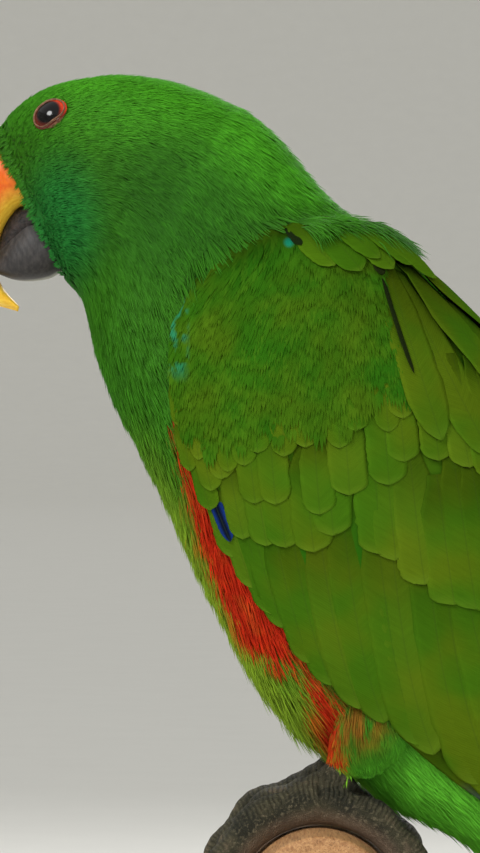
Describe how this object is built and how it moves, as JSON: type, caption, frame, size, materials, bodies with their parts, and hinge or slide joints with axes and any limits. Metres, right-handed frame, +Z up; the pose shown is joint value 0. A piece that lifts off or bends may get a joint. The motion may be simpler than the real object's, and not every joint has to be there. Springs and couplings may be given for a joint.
{
  "type": "eclectus parrot model",
  "caption": "Life-size still model of a male eclectus parrot gripping a short round perch on a plain display stand",
  "frame": {"origin": "the middle of the stand base's underside", "axes": "+Z up; the bird faces -X with its tail towards +X; its left side faces -Y"},
  "size_m": [0.2348, 0.124, 0.2994],
  "materials": {
    "green_feathers": "soft overlapping contour feathers, bright green, darker on the face, red on the flanks",
    "wing_feathers": "smooth olive to yellow green wing feathers with blue outer flight feathers",
    "tail_feathers": "stiff green tail feathers with blue edges and pale tips",
    "bill_orange": "horn, orange at the root turning yellow at the tip",
    "bill_black": "horn, dark grey to black",
    "eye": "wet, black pupil in a dark red-brown iris",
    "foot_skin": "dark grey scaly skin",
    "claw": "dark horn",
    "perch_wood": "plain turned wood, waxed",
    "stand_metal": "brushed",
    "base_wood": "dark stained, satin varnish"
  },
  "bodies": {
    "root": {"head": "green_feathers", "neck": "green_feathers", "torso": "green_feathers", "rump": "green_feathers", "tail": "tail_feathers", "wing_left": "wing_feathers", "wing_right": "wing_feathers", "thigh_left": "green_feathers", "thigh_right": "green_feathers", "bill_upper": "bill_orange", "bill_lower": "bill_black", "eye_left": "eye", "eye_right": "eye", "foot_left": "foot_skin", "foot_right": "foot_skin", "claw_left_outer_front": "claw", "claw_left_inner_front": "claw", "claw_left_outer_back": "claw", "claw_left_inner_back": "claw", "claw_right_outer_front": "claw", "claw_right_inner_front": "claw", "claw_right_outer_back": "claw", "claw_right_inner_back": "claw", "stand_perch": "perch_wood", "stand_rod": "stand_metal", "stand_collar": "stand_metal", "stand_base": "base_wood"}
  },
  "joints": []
}
